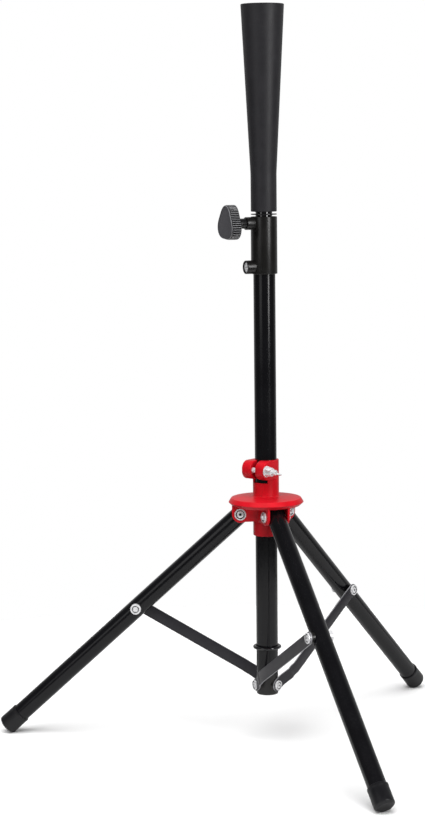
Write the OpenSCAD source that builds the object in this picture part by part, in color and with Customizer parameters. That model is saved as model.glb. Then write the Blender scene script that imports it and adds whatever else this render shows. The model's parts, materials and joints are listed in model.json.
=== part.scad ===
// Folding tripod batting tee: a sliding hub spreads three braced legs, and a
// knob-clamped inner pole carries the rubber ball cone.
// Origin on the tube axis at floor level, +Z up, the front leg towards -Y.

/* [Main tube] */
// Outside diameter of the main tube
tube_d = 25; // [24:0.5:26]
// Wall of the main tube
tube_wall = 1.5; // [1.2:0.1:1.8]
// Height of the bottom of the column above the floor
column_z = 55.5; // [50:0.5:58]
// Height of the top face of the collar
collar_top_z = 608.5; // [560:0.5:640]

/* [Inner pole and cone] */
// Outside diameter of the inner pole
pole_d = 19; // [17:0.5:19.5]
// Room below the inner pole's bush at the lowest setting
pole_room = 2.5; // [2:0.5:60]
// Depth of pole that sits inside the cone
pole_in_cone = 86; // [70:1:95]
// Length of the rubber cone
cone_len = 232; // [220:1:250]
// Rim diameter of the cone
cone_top_d = 49; // [44:0.5:54]
// Diameter of the cone's straight stem
cone_stem_d = 29.5; // [27:0.5:31]
// Length of the straight stem
cone_stem_len = 43; // [30:1:55]
// Wall of the cone's cup
cone_wall = 3; // [2.5:0.1:3.5]

/* [Collar] */
// Outside diameter of the collar
collar_d = 30; // [29:0.5:31]
// Length of the collar
collar_len = 65; // [60:1:75]
// Mean radius of the three-sided knob
knob_r = 19.3; // [17:0.1:21]
// How far the knob's corners stand out from a circle
knob_lobe = 2.1; // [1:0.1:2.6]
// Number of ridges round the knob
knob_ridges = 51; // [42:3:54]
// Thickness of the knob
knob_t = 12.5; // [9:0.5:13]

/* [Hub] */
// Outside diameter of the hub's sleeve
hub_d = 30; // [29.5:0.1:30.5]
// Diameter of the flange's sharp rim
flange_d = 86.5; // [84:0.5:90]
// Radius of the circle on which the leg pivots stand
pivot_r = 28; // [27.8:0.1:29]
// Height of the leg pivots with the legs spread
pivot_z = 268; // [262:0.5:272]
// Rim of the flange above the leg pivots
flange_rise = 13.3; // [13:0.1:14.5]
// Top of the sleeve above the leg pivots
sleeve_up = 62.5; // [60:0.5:66]
// Bottom of the sleeve below the leg pivots
sleeve_down = 25.5; // [22:0.5:28]
// Height of the two clamp ears
ear_h = 21.5; // [19:0.5:22.5]
// Thickness of each clamp ear
ear_t = 12.5; // [11:0.5:13]
// Gap of the split between the ears
split_w = 6.5; // [5:0.5:7]

/* [Legs and struts] */
// Outside diameter of each leg tube
leg_d = 21; // [20:0.1:21]
// Angle of a spread leg from the vertical
leg_angle = 47.5; // [46:0.5:48.5]
// Outside diameter of each rubber foot
foot_d = 23.6; // [22.5:0.1:24.5]
// Length of each rubber foot
foot_len = 25; // [20:0.5:28]
// Leg pivot to strut bolt
brace_at = 169; // [166:0.5:172]
// Height of the strut screws above the floor
strut_foot_z = 66.7; // [65:0.1:68]
// Width of each strut
strut_w = 14; // [12:0.5:14]
// Thickness of each strut
strut_t = 2; // [1.5:0.1:2.2]
// How far each strut bows out from its leg near its lower end
strut_bow = 6; // [0:0.5:6]

/* [Hidden] */
$fn = 96;

// running clearance of a shaft or pin in its bore, and the gap between other moving faces
fit = 0.08;
gap = 0.3;

// azimuths of the legs, the collar's screws and the clamp's split
az_front = 270;
az_right = 30;
az_left = 150;
az_knob = 183;
az_split = 210;

tube_id = tube_d - 2 * tube_wall;
collar_z = collar_top_z - collar_len;
collar_lip = 8;
tube_top_z = collar_top_z - collar_lip;
fitting_h = 24;
tube_z = column_z + fitting_h;
spigot_len = 12;

// ring that the closing struts push up the tube
stop_ring_t = 3.8;
stop_ring_z = 109;

// knob boss and fixing boss of the collar
knob_boss_d = 14.5;
boss_end = 23.5;
boss_inset = 0.3;
knob_z = collar_top_z - knob_boss_d / 2 - boss_inset;
fix_boss_d = 15.4;
fix_z = collar_z + fix_boss_d / 2 + boss_inset;
fix_end = 23.7;
fix_head_d = 11.9;
fix_head_t = 1.8;
fix_sink = 2.5;
stud_d = 6;
insert_af = 10;
insert_t = 5;
knob_back = 36.5;
knob_hub_d = 11.6;
knob_turned = 5;
knob_cap = 3;

// cone, ring and pole
ring_t = 1.2;
ring_d = 29.7;
ring_z = collar_top_z + 2;
cone_z = ring_z + ring_t + 2.3;
pole_wall = 1.2;
pole_bore = pole_d - 2 * pole_wall;
bush_len = 26;
bush_spigot = 18;
pole_top_z = cone_z + pole_in_cone;
pole_z = tube_z + spigot_len + pole_room + bush_len;

// hub clamp: bolt across the ears
ear_top_z = pivot_z + sleeve_up;
ear_reach = 25.2;
ear_round = ear_h / 2 - 1.2;
bolt_r = 19.8;
bolt_d = 6;
bolt_z = ear_top_z - ear_h / 2;
bolt_head_d = 9.6;
bolt_head_t = 2.4;
slot_h = 4.8;
slot_half_angle = 45;
ear_face = split_w / 2 + ear_t;
washer_t = 1.2;
wing_tilt = -20;

// leg pivots
lug_t = 3;
lug_in = leg_d / 2 + gap;
lug_out = lug_in + lug_t;
lug_round = 10;
lug_drop = 8;
pivot_d = 5;
head_t = 2;
flange_z = pivot_z + flange_rise;

// a spread leg ends where its foot's rounded edge meets the floor
foot_edge = 2.5;
foot_flat = 0.5;
foot_r = foot_d / 2;
leg_len = foot_edge + (pivot_z - (foot_r - foot_edge) * sin(leg_angle) - foot_edge + foot_flat)
    / cos(leg_angle);
leg_wall = 1.2;
foot_end_t = 3;

// strut pivots and the strut's own length and slope
strut_in = tube_d / 2 + 0.4 + gap;
strut_out = strut_in + strut_t;
brace_x = pivot_r + brace_at * sin(leg_angle);
brace_z = pivot_z - brace_at * cos(leg_angle);
strut_len = norm([brace_x, brace_z - strut_foot_z]);
strut_angle = atan2(brace_x, brace_z - strut_foot_z);
screw_head_d = 12.4;
strut_screw_d = 11.6;
strut_boss_d = 15;
// bends of the strut, measured along it from its lower screw
bend_low = 9;
bend_high = 26;
bend_top = strut_len - 12;

black_gloss = "#1b1b1e";
black_satin = "#26262a";
rubber = "#37373b";
red = "#c4161f";
steel = "#c9cbd0";
strut_grey = "#3c3b45";

// a round tube standing on the XY plane
module pipe(d_out, d_in, h) {
    difference() {
        cylinder(d = d_out, h = h);
        translate([0, 0, -1]) cylinder(d = d_in, h = h + 2);
    }
}

// rounded rectangle from x = 0 to x = len, centred on y = 0, round at its far corners
module tab_outline(len, width, round_r) {
    translate([0, -width / 2]) square([len - round_r, width]);
    translate([0, -width / 2 + round_r]) square([len, width - 2 * round_r]);
    for (side = [-1, 1])
        translate([len - round_r, side * (width / 2 - round_r)]) circle(round_r);
}

// places a child, drawn with +Z pointing outward, on the radial line at azimuth az
module radial(az, z, r = 0) {
    rotate([0, 0, az]) translate([r, 0, z]) rotate([0, 90, 0]) children();
}

// leg frame: origin at the pivot, the leg along -Z, the pivot axis along Y
module on_leg(az) {
    rotate([0, 0, az]) translate([pivot_r, 0, pivot_z]) rotate([0, -leg_angle, 0]) children();
}

// strut frame: origin at the strut bolt on the leg's centre plane, the strut along -Z
module on_strut(az) {
    rotate([0, 0, az]) translate([brace_x, 0, brace_z]) rotate([0, strut_angle, 0]) children();
}

// clamp frame: origin on the bolt axis in the split plane, +Z along the bolt to the wing nut
module on_clamp() {
    rotate([0, 0, az_split]) translate([bolt_r, 0, bolt_z]) rotate([-90, 0, 0]) children();
}

// low domed screw head with a cross recess, its seat on the XY plane
module screw_head(d, h) {
    difference() {
        intersection() {
            cylinder(d = d, h = h);
            translate([0, 0, h - 1.6 * d]) sphere(r = 1.6 * d);
        }
        for (turn = [0, 90])
            rotate([0, 0, turn]) translate([-d / 4, -0.5, h - 0.9]) cube([d / 2, 1, 2]);
    }
}

module main_tube() {
    color(black_gloss) difference() {
        translate([0, 0, tube_z]) pipe(tube_d, tube_id, tube_top_z - tube_z);
        // way for the clamping stud and thread of the collar's fixing screw
        radial(az_knob, knob_z) cylinder(d = stud_d + 2, h = tube_d);
        radial(az_knob, fix_z) cylinder(d = 4, h = tube_d);
    }
}

// plug that closes the column, with three bosses that carry the struts
module bottom_fitting() {
    color(black_satin) difference() {
        union() {
            translate([0, 0, column_z]) cylinder(d = tube_d, h = fitting_h);
            translate([0, 0, tube_z]) cylinder(d = tube_id, h = spigot_len);
            for (az = [az_front, az_right, az_left])
                radial(az - 90, strut_foot_z) cylinder(d = strut_boss_d, h = strut_in - gap);
        }
        translate([0, 0, tube_z - 14]) cylinder(d = tube_id - 6, h = spigot_len + 15);
        for (az = [az_front, az_right, az_left])
            radial(az - 90, strut_foot_z, 4) cylinder(d = 4.2, h = tube_d);
    }
}

module stop_ring() {
    color(black_gloss) translate([0, 0, stop_ring_z + stop_ring_t / 2]) rotate_extrude()
        translate([tube_d / 2 + fit + stop_ring_t / 2, 0]) circle(d = stop_ring_t, $fn = 48);
}

module upper_collar() {
    color(black_satin) difference() {
        union() {
            translate([0, 0, collar_z]) cylinder(d = collar_d, h = collar_len);
            radial(az_knob, knob_z) cylinder(d = knob_boss_d, h = boss_end);
            radial(az_knob, fix_z) cylinder(d = fix_boss_d, h = fix_end);
        }
        translate([0, 0, collar_z - 1]) cylinder(d = tube_d, h = collar_len - collar_lip + 1);
        translate([0, 0, collar_z]) cylinder(d = pole_d + 2 * fit, h = collar_len + 1);
        radial(az_knob, knob_z) cylinder(d = stud_d + 1, h = boss_end + 1);
        radial(az_knob, knob_z, boss_end - insert_t - 2)
            cylinder(d = insert_af / cos(30), h = insert_t, $fn = 6);
        radial(az_knob, fix_z) cylinder(d = 4, h = fix_end + 1);
        radial(az_knob, fix_z, fix_end - fix_sink) cylinder(d = fix_head_d + 0.4, h = fix_sink + 1);
    }
}

module collar_screw() {
    color(steel) {
        radial(az_knob, fix_z, fix_end - fix_sink) screw_head(fix_head_d, fix_head_t);
        radial(az_knob, fix_z, tube_id / 2 + 0.4)
            cylinder(d = 4, h = fix_end - fix_sink - tube_id / 2 - 0.4);
    }
}

// captive hex nut in the knob boss
module clamp_insert() {
    color("#b79a57") radial(az_knob, knob_z, boss_end - insert_t - 2) difference() {
        cylinder(d = insert_af / cos(30), h = insert_t, $fn = 6);
        translate([0, 0, -1]) cylinder(d = stud_d + 2 * fit, h = insert_t + 2);
    }
}

module clamp_stud() {
    color(steel) radial(az_knob, knob_z, pole_d / 2 + gap)
        cylinder(d = stud_d, h = knob_back + knob_t - knob_cap - pole_d / 2 - gap);
}

// distance of the knob's side from its axis, at an angle from straight up
function knob_side(a) = knob_r + knob_lobe * cos(3 * (a - knob_turned))
    + ridge_h * (cos(knob_ridges * a) - 1);
ridge_h = 0.55;
knob_steps = knob_ridges * 4;

module knob() {
    color(black_satin) radial(az_knob, knob_z) difference() {
        union() {
            translate([0, 0, knob_back]) linear_extrude(knob_t)
                polygon([for (i = [0 : knob_steps - 1]) let (a = 360 * i / knob_steps)
                    knob_side(a) * [-cos(a), sin(a)]]);
            translate([0, 0, boss_end + gap])
                cylinder(d = knob_hub_d, h = knob_back - boss_end - gap + 1);
        }
        cylinder(d = stud_d + 2 * fit, h = knob_back + knob_t - knob_cap + gap);
    }
}

// bush that guides the foot of the inner pole in the main tube
module pole_bush() {
    color(black_satin) difference() {
        union() {
            translate([0, 0, pole_z - bush_len]) cylinder(d = tube_id - 2 * fit, h = bush_len - gap);
            translate([0, 0, pole_z - 1]) cylinder(d = pole_bore - 2 * fit, h = bush_spigot + 1);
        }
        translate([0, 0, pole_z - bush_len - 1])
            cylinder(d = pole_bore - 5, h = bush_len + bush_spigot + 2);
    }
}

module inner_pole() {
    color(black_gloss) translate([0, 0, pole_z]) pipe(pole_d, pole_bore, pole_top_z - pole_z);
}

module support_ring() {
    color(black_gloss) translate([0, 0, ring_z]) pipe(ring_d, pole_d, ring_t);
}

// rubber cup on a stem; the pole stands against a ledge at the foot of the cup
module ball_cone() {
    r_top = cone_top_d / 2;
    r_stem = cone_stem_d / 2;
    slope = (r_top - r_stem) / (cone_len - cone_stem_len);
    r_ledge = r_stem - cone_wall + slope * (pole_in_cone - cone_stem_len);
    color(rubber) translate([0, 0, cone_z]) rotate_extrude() polygon([
        [pole_d / 2, 0],
        [r_stem - 0.8, 0],
        [r_stem, 0.8],
        [r_stem, cone_stem_len],
        [r_top, cone_len - 0.6],
        [r_top - 0.6, cone_len],
        [r_top - cone_wall + 0.6, cone_len],
        [r_top - cone_wall, cone_len - 0.6],
        [r_ledge, pole_in_cone],
        [pole_d / 2 - 1.4, pole_in_cone],
        [pole_d / 2 - 1.4, pole_in_cone - 0.01],
        [pole_d / 2, pole_in_cone - 0.01]]);
}

// sharp-rimmed disc, crowned above and hollow below
module flange() {
    r = flange_d / 2;
    translate([0, 0, flange_z]) rotate_extrude() polygon([
        [0, 6.8],
        [hub_d / 2 + 3, 6.3],
        [r - 3.2, 4.9],
        [r - 2.2, 4.2],
        [r - 0.3, 0.4],
        [r, 0],
        [r - 0.3, -0.4],
        [r - 4.3, -4],
        [r - 6.3, -4],
        [r - 7, -1.8],
        [0, -1.8]]);
}

// the two walls that hold one leg
module lug_pair() {
    for (side = [-1, 1])
        translate([0, side * (lug_in + lug_t / 2), 0]) rotate([90, 0, 0])
            linear_extrude(lug_t, center = true) {
                circle(lug_round);
                translate([-pivot_r + 4, -lug_drop])
                    square([pivot_r - 4, lug_drop + flange_rise - 1.8]);
                translate([-8, 0]) square([8 + lug_round - 1, flange_rise - 1.8]);
            }
}

// two ears and the ring between them, drawn about the tube axis
module clamp_ears() {
    rotate([0, 0, az_split]) rotate([90, 0, 0]) translate([0, bolt_z, 0])
        linear_extrude(2 * ear_face, center = true) tab_outline(ear_reach, ear_h, ear_round);
}

module hub() {
    color(red) difference() {
        union() {
            translate([0, 0, pivot_z - sleeve_down]) cylinder(d = hub_d, h = sleeve_down + sleeve_up);
            flange();
            clamp_ears();
            for (az = [az_front, az_right, az_left])
                rotate([0, 0, az]) translate([pivot_r, 0, pivot_z]) lug_pair();
        }
        translate([0, 0, pivot_z - sleeve_down - 1])
            cylinder(d = tube_d + 2 * fit, h = sleeve_down + sleeve_up + 2);
        // split between the ears, from the slot up
        rotate([0, 0, az_split]) translate([0, -split_w / 2, ear_top_z - ear_h - slot_h / 2])
            cube([ear_reach + 1, split_w, ear_h + slot_h / 2 + 1]);
        // slot that frees the clamp from the sleeve below it
        rotate([0, 0, az_split - slot_half_angle])
            translate([0, 0, ear_top_z - ear_h - slot_h])
            rotate_extrude(angle = 2 * slot_half_angle) square([ear_reach, slot_h]);
        on_clamp() cylinder(d = bolt_d, h = 4 * ear_face, center = true);
        on_clamp() translate([0, 0, -ear_face - 0.1])
            cylinder(d1 = bolt_head_d + 0.4, d2 = bolt_d + 0.4, h = bolt_head_t + 0.1);
        for (az = [az_front, az_right, az_left])
            rotate([0, 0, az]) translate([pivot_r, 0, pivot_z]) rotate([90, 0, 0])
                cylinder(d = pivot_d, h = 4 * lug_out, center = true);
    }
}

module leg_pivot_bolts() {
    color(steel) for (az = [az_front, az_right, az_left])
        rotate([0, 0, az]) translate([pivot_r, 0, pivot_z]) rotate([90, 0, 0]) {
            translate([0, 0, lug_out]) screw_head(screw_head_d, head_t);
            translate([0, 0, -lug_out - 4]) cylinder(d = pivot_d, h = 2 * lug_out + 4);
        }
}

module leg_pivot_nuts() {
    color(steel) for (az = [az_front, az_right, az_left])
        rotate([0, 0, az]) translate([pivot_r, 0, pivot_z]) rotate([-90, 0, 0])
            translate([0, 0, lug_out]) {
                pipe(13.6, pivot_d, 1);
                translate([0, 0, 1]) difference() {
                    cylinder(d = 9.2, h = 2.6, $fn = 6);
                    translate([0, 0, -1]) cylinder(d = pivot_d, h = 5);
                }
            }
}

module clamp_bolt() {
    color(steel) on_clamp() {
        difference() {
            translate([0, 0, -ear_face]) cylinder(d1 = bolt_head_d, d2 = bolt_d, h = bolt_head_t);
            translate([0, 0, -ear_face - 1]) cylinder(d = 4.6, h = 2.8, $fn = 6);
        }
        translate([0, 0, -ear_face + 1.8]) cylinder(d = bolt_d, h = 2 * ear_face + 12.2);
    }
}

module clamp_washer() {
    color(steel) on_clamp() translate([0, 0, ear_face + 0.05])
        pipe(13, bolt_d + 2 * fit, washer_t);
}

// turned nut with two raised wings
module wing_nut() {
    nut_z = ear_face + 0.05 + washer_t + 0.05;
    color(steel) on_clamp() translate([0, 0, nut_z]) rotate([0, 0, wing_tilt]) difference() {
        union() {
            cylinder(d1 = 12, d2 = 9.6, h = 7.5);
            for (side = [-1, 1])
                rotate([90, 0, 0]) translate([0, 0, -1.1]) linear_extrude(2.2) {
                    polygon([[side * 3, 0.5], [side * 8, 2.5], [side * 14, 8], [side * 10, 12.4],
                        [side * 3, 7.4]]);
                    translate([side * 11.4, 9.2]) circle(3.6);
                }
        }
        translate([0, 0, -1]) cylinder(d = bolt_d + 2 * fit, h = 12);
    }
}

// leg tube, rounded about its pivot at the top
module leg(az) {
    color(black_gloss) on_leg(az) difference() {
        intersection() {
            translate([0, 0, -leg_len + foot_end_t]) cylinder(d = leg_d, h = leg_len + leg_d);
            union() {
                rotate([90, 0, 0]) cylinder(d = leg_d, h = leg_d + 2, center = true);
                translate([-leg_d, -leg_d, -leg_len]) cube([2 * leg_d, 2 * leg_d, leg_len]);
            }
        }
        translate([0, 0, -leg_len]) cylinder(d = leg_d - 2 * leg_wall, h = leg_len + leg_d);
        rotate([90, 0, 0]) cylinder(d = pivot_d + 2 * fit, h = 2 * leg_d, center = true);
        translate([0, 0, -brace_at]) rotate([90, 0, 0]) cylinder(d = 5, h = 2 * leg_d, center = true);
    }
}

// nylon plug that fills the leg's top and bears on the pivot bolt
module leg_plug(az) {
    plug_d = leg_d - 2 * leg_wall;
    color(black_satin) on_leg(az) difference() {
        intersection() {
            translate([0, 0, -22]) cylinder(d = plug_d, h = 22 + leg_d);
            union() {
                rotate([90, 0, 0]) cylinder(d = leg_d - 1, h = leg_d + 2, center = true);
                translate([-leg_d, -leg_d, -22]) cube([2 * leg_d, 2 * leg_d, 22]);
            }
        }
        rotate([90, 0, 0]) cylinder(d = pivot_d + 2 * fit, h = 2 * leg_d, center = true);
    }
}

// rubber foot; the floor plane trims a small flat on its rounded edge
module foot(az) {
    color(rubber) difference() {
        on_leg(az) translate([0, 0, -leg_len]) difference() {
            union() {
                translate([0, 0, foot_edge]) cylinder(r = foot_r, h = foot_len - foot_edge);
                cylinder(r = foot_r - foot_edge, h = foot_len);
                translate([0, 0, foot_edge]) rotate_extrude()
                    translate([foot_r - foot_edge, 0]) circle(foot_edge, $fn = 32);
            }
            translate([0, 0, foot_end_t]) cylinder(d = leg_d, h = foot_len);
        }
        translate([-500, -500, -20]) cube([1000, 1000, 20]);
    }
}

module strut_bolt(az) {
    color(steel) on_leg(az) translate([0, 0, -brace_at]) rotate([90, 0, 0]) {
        translate([0, 0, strut_out + 0.1]) screw_head(screw_head_d, head_t);
        translate([0, 0, -leg_d / 2 - 4]) cylinder(d = 5, h = leg_d / 2 + 4 + strut_out + 0.1);
    }
}

// nylon spacer that keeps the strut off the curved side of the leg
module strut_spacer(az) {
    color(black_satin) on_leg(az) translate([0, 0, -brace_at]) difference() {
        rotate([90, 0, 0]) cylinder(d = 12, h = strut_in - 0.1);
        rotate([90, 0, 0]) translate([0, 0, -1]) cylinder(d = 5, h = strut_in + 2);
        translate([0, 0, -20]) cylinder(d = leg_d, h = 40);
    }
}

module strut_nut(az) {
    color(steel) on_leg(az) translate([0, 0, -brace_at]) difference() {
        rotate([-90, 0, 0]) union() {
            cylinder(d = 11, h = leg_d / 2 + 0.6);
            cylinder(d = 9.2, h = leg_d / 2 + 2.6, $fn = 6);
        }
        rotate([-90, 0, 0]) translate([0, 0, -1]) cylinder(d = 5, h = leg_d);
        translate([0, 0, -20]) cylinder(d = leg_d, h = 40);
    }
}

// edge of the bent strut, drawn as (distance out from its leg, height)
module strut_side() {
    inner = [[strut_in, -strut_len - strut_w], [strut_in, -strut_len + bend_low],
        [strut_in + strut_bow, -strut_len + bend_high], [strut_in, -strut_len + bend_top],
        [strut_in, strut_w]];
    outer = [for (i = [len(inner) - 1 : -1 : 0]) inner[i] + [strut_t, 0]];
    polygon(concat(inner, outer));
}

// flat bar with round ends, on the clockwise side of its leg
module strut(az) {
    color(strut_grey) on_strut(az) difference() {
        intersection() {
            rotate([90, 0, -90]) linear_extrude(strut_w, center = true) strut_side();
            rotate([90, 0, 0]) linear_extrude(strut_in + strut_bow + strut_t + 1) {
                circle(d = strut_w);
                translate([0, -strut_len]) circle(d = strut_w);
                translate([-strut_w / 2, -strut_len]) square([strut_w, strut_len]);
            }
        }
        rotate([90, 0, 0]) cylinder(d = 5 + 2 * fit, h = strut_in + strut_t + 1);
        translate([0, 0, -strut_len]) rotate([90, 0, 0]) cylinder(d = 4, h = strut_in + strut_t + 1);
    }
}

// the strut's lower screw, which turns with the strut in the fitting's boss
module strut_screw(az) {
    color(steel) on_strut(az) translate([0, -strut_in, -strut_len]) rotate([90, 0, 0]) {
        cylinder(d = 4, h = strut_t);
        translate([0, 0, strut_t]) screw_head(strut_screw_d, head_t);
    }
}

main_tube();
bottom_fitting();
stop_ring();
upper_collar();
collar_screw();
clamp_insert();
clamp_stud();
knob();
pole_bush();
inner_pole();
support_ring();
ball_cone();
hub();
leg_pivot_bolts();
leg_pivot_nuts();
clamp_bolt();
clamp_washer();
wing_nut();
leg(az_front);  // leg_front
leg(az_right);  // leg_right
leg(az_left);  // leg_left
leg_plug(az_front);  // leg_plug_front
leg_plug(az_right);  // leg_plug_right
leg_plug(az_left);  // leg_plug_left
foot(az_front);  // foot_front
foot(az_right);  // foot_right
foot(az_left);  // foot_left
strut_bolt(az_front);  // strut_bolt_front
strut_bolt(az_right);  // strut_bolt_right
strut_bolt(az_left);  // strut_bolt_left
strut_spacer(az_front);  // strut_spacer_front
strut_spacer(az_right);  // strut_spacer_right
strut_spacer(az_left);  // strut_spacer_left
strut_nut(az_front);  // strut_nut_front
strut_nut(az_right);  // strut_nut_right
strut_nut(az_left);  // strut_nut_left
strut(az_front);  // strut_front
strut(az_right);  // strut_right
strut(az_left);  // strut_left
strut_screw(az_front);  // strut_screw_front
strut_screw(az_right);  // strut_screw_right
strut_screw(az_left);  // strut_screw_left
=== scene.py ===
"""Folding tripod batting tee: the finished surfaces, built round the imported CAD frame."""
import json
import math

import bmesh
import bpy
from mathutils import Matrix, Vector


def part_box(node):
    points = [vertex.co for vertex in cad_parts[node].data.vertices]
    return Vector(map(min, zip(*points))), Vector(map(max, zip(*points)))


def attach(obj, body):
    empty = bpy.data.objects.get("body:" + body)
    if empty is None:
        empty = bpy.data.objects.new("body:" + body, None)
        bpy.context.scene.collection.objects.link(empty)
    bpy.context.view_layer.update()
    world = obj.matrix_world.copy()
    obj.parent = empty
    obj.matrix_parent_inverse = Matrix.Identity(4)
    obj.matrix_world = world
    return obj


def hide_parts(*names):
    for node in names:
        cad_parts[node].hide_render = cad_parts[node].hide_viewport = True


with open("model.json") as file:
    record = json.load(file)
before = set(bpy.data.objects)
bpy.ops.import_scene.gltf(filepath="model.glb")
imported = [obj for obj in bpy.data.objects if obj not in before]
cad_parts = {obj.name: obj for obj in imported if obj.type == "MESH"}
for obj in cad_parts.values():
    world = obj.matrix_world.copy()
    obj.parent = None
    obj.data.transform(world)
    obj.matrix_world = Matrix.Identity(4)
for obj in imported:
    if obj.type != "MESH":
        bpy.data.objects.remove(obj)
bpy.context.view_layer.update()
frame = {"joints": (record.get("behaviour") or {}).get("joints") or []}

# ---------------------------------------------------------------- places and sizes, in metres
MM = 0.001
LEGS = ("front", "right", "left")
JOINT = {j["name"]: j for j in frame["joints"]}


def middle(node):
    """Centre of a CAD node's box."""
    low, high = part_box(node)
    return (Vector(low) + Vector(high)) / 2


def size(node):
    """Width, depth and height of a CAD node's box."""
    low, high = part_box(node)
    return Vector(high) - Vector(low)


def axes_frame(origin, z_axis, y_axis):
    """Matrix of a frame with that origin, +Z and +Y."""
    z_axis = Vector(z_axis).normalized()
    y_axis = Vector(y_axis).normalized()
    rotation = Matrix((y_axis.cross(z_axis), y_axis, z_axis)).transposed().to_4x4()
    return Matrix.Translation(origin) @ rotation


def leg_frame(leg):
    """Origin at the leg's pivot, the leg along -Z, the pivot axis along +Y."""
    joint = JOINT["leg_fold_" + leg]
    pivot = Vector(joint["pos_m"])
    return axes_frame(pivot, pivot - Vector(JOINT["strut_fold_" + leg]["pos_m"]), joint["axis"])


def strut_frame(leg):
    """Origin at the strut's bolt on the leg's centre plane, the strut along -Z."""
    top = Vector(JOINT["strut_fold_" + leg]["pos_m"])
    foot = Vector((0, 0, middle("strut_screw_" + leg).z))
    return axes_frame(top, top - foot, JOINT["leg_fold_" + leg]["axis"]), (top - foot).length


def radial_frame(azimuth, z, radius=0.0):
    """Origin on the radial line at that azimuth, +Z pointing outward, +Y up."""
    angle = math.radians(azimuth)
    outward = Vector((math.cos(angle), math.sin(angle), 0))
    return axes_frame(outward * radius + Vector((0, 0, z)), outward, (0, 0, 1))


AXIS = Matrix.Identity(4)
# column, collar and pole
TUBE_R = size("main_tube").x / 2
TUBE_LOW, TUBE_HIGH = (corner[2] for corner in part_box("main_tube"))
POLE_R = size("inner_pole").x / 2
POLE_LOW, POLE_HIGH = (corner[2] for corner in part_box("inner_pole"))
COLUMN_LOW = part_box("bottom_fitting")[0][2]
COLLAR_R = size("upper_collar").y / 2
COLLAR_LOW, COLLAR_HIGH = (corner[2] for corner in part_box("upper_collar"))
TUBE_WALL, POLE_WALL = 1.5 * MM, 1.2 * MM
FITTING_BORE_R, FITTING_BOSS_R = 8 * MM, 7.5 * MM
COLLAR_LIP = 8 * MM
BOSS_ROOT = 13 * MM
KNOB_BOSS_R, FIX_BOSS_R = 7.25 * MM, 7.7 * MM
BOSS_END, FIX_END = 23.5 * MM, 23.7 * MM
FIX_RECESS_R, FIX_RECESS_DEPTH = 6.15 * MM, 2.5 * MM
FIX_HEAD_R = 5.95 * MM
# knob: its radius, lobes and ridges are in mm
KNOB_BACK, KNOB_FRONT = 36.5 * MM, 49 * MM
KNOB_R, KNOB_LOBE, KNOB_RIDGE = 19.3, 2.1, 1.6
KNOB_RIDGES, POINTS_PER_RIDGE = 51, 12
KNOB_TOP_LOBE = math.radians(85)
KNOB_NECK_R, STUD_R = 5.8 * MM, 2.9 * MM
KNOB_AXIS = JOINT["knob_turn"]["axis"]
KNOB_AZIMUTH = math.degrees(math.atan2(KNOB_AXIS[1], KNOB_AXIS[0]))
KNOB_Z = JOINT["knob_turn"]["pos_m"][2]
FIX_Z = middle("collar_screw").z
# hub and clamp
HUB_LOW, HUB_HIGH = (corner[2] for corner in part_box("hub"))
HUB_R = 15 * MM
FLANGE_R = 43.25 * MM
EAR_HEIGHT, EAR_REACH = 21.5 * MM, 25.2 * MM
EAR_ROUND = EAR_HEIGHT / 2 - 1.2 * MM
EAR_FACE = 15.75 * MM
SPLIT_HALF = 3.25 * MM
SLOT_HEIGHT = 4.8 * MM
RIM_OVER_PIVOT = 13.3 * MM
CLAMP_BOLT_R, CLAMP_HEAD_R = 3 * MM, 4.8 * MM
WING_TILT = -20
# legs and struts; STRUT_IN and LUG_IN are distances from a leg's centre plane
LEG_R, LEG_WALL = 10.5 * MM, 1.2 * MM
LEG_LENGTH = 386.08 * MM
LEG_END = 12 * MM
FOOT_R, FOOT_HEIGHT = 11.8 * MM, 25 * MM
BOLT_R = 2.5 * MM
SPACER_R, SPACER_ROOT = 6 * MM, 8 * MM
CUP_R, CUP_HEIGHT = 6.2 * MM, 2.5 * MM
STRUT_IN = 13.2 * MM
STRUT_HALF, STRUT_THICK = 7 * MM, 2 * MM
STRUT_BOW = 6 * MM
LUG_IN = LEG_R + 0.3 * MM
LUG_OUT = LUG_IN + 3 * MM
HEAD_R, HEAD_HEIGHT = 6.2 * MM, 2 * MM
PIVOT_CUP_R = 6.8 * MM
STRUT_HEAD_R = 5.8 * MM
# how close two points are one
SAME_POINT = 1e-7
WELD = 0.005 * MM


# ---------------------------------------------------------------- outlines
def rounded(corners, steps=5):
    """Turns (x, y, radius) corners into points, each corner an arc of its radius."""
    count = len(corners)
    points = []
    for i, (x, y, radius) in enumerate(corners):
        here = Vector((x, y))
        if radius == 0:
            points.append(here)
            continue
        before = (Vector(corners[i - 1][:2]) - here).normalized()
        after = (Vector(corners[(i + 1) % count][:2]) - here).normalized()
        half = before.angle(after) / 2
        reach = radius / math.tan(half)
        centre = here + (before + after).normalized() * radius / math.sin(half)
        start, end = here + before * reach - centre, here + after * reach - centre
        sweep = start.angle_signed(end)
        for k in range(steps + 1):
            turn = Matrix.Rotation(-sweep * k / steps, 2)
            points.append(centre + turn @ start)
    return points


def circle_points(radius, count=32, x=0.0, y=0.0):
    """Points round a circle."""
    turns = (2 * math.pi * i / count for i in range(count))
    return [Vector((x + radius * math.cos(t), y + radius * math.sin(t))) for t in turns]


# ---------------------------------------------------------------- mesh makers
def new_object(name, bm, smooth_angle=35):
    """An object from a bmesh, smooth but for edges sharper than smooth_angle degrees."""
    bmesh.ops.remove_doubles(bm, verts=bm.verts, dist=SAME_POINT)
    bmesh.ops.recalc_face_normals(bm, faces=bm.faces)
    mesh = bpy.data.meshes.new(name)
    bm.to_mesh(mesh)
    bm.free()
    mesh.shade_smooth()
    mesh.set_sharp_from_angle(angle=math.radians(smooth_angle))
    obj = bpy.data.objects.new(name, mesh)
    bpy.context.scene.collection.objects.link(obj)
    return obj


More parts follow.
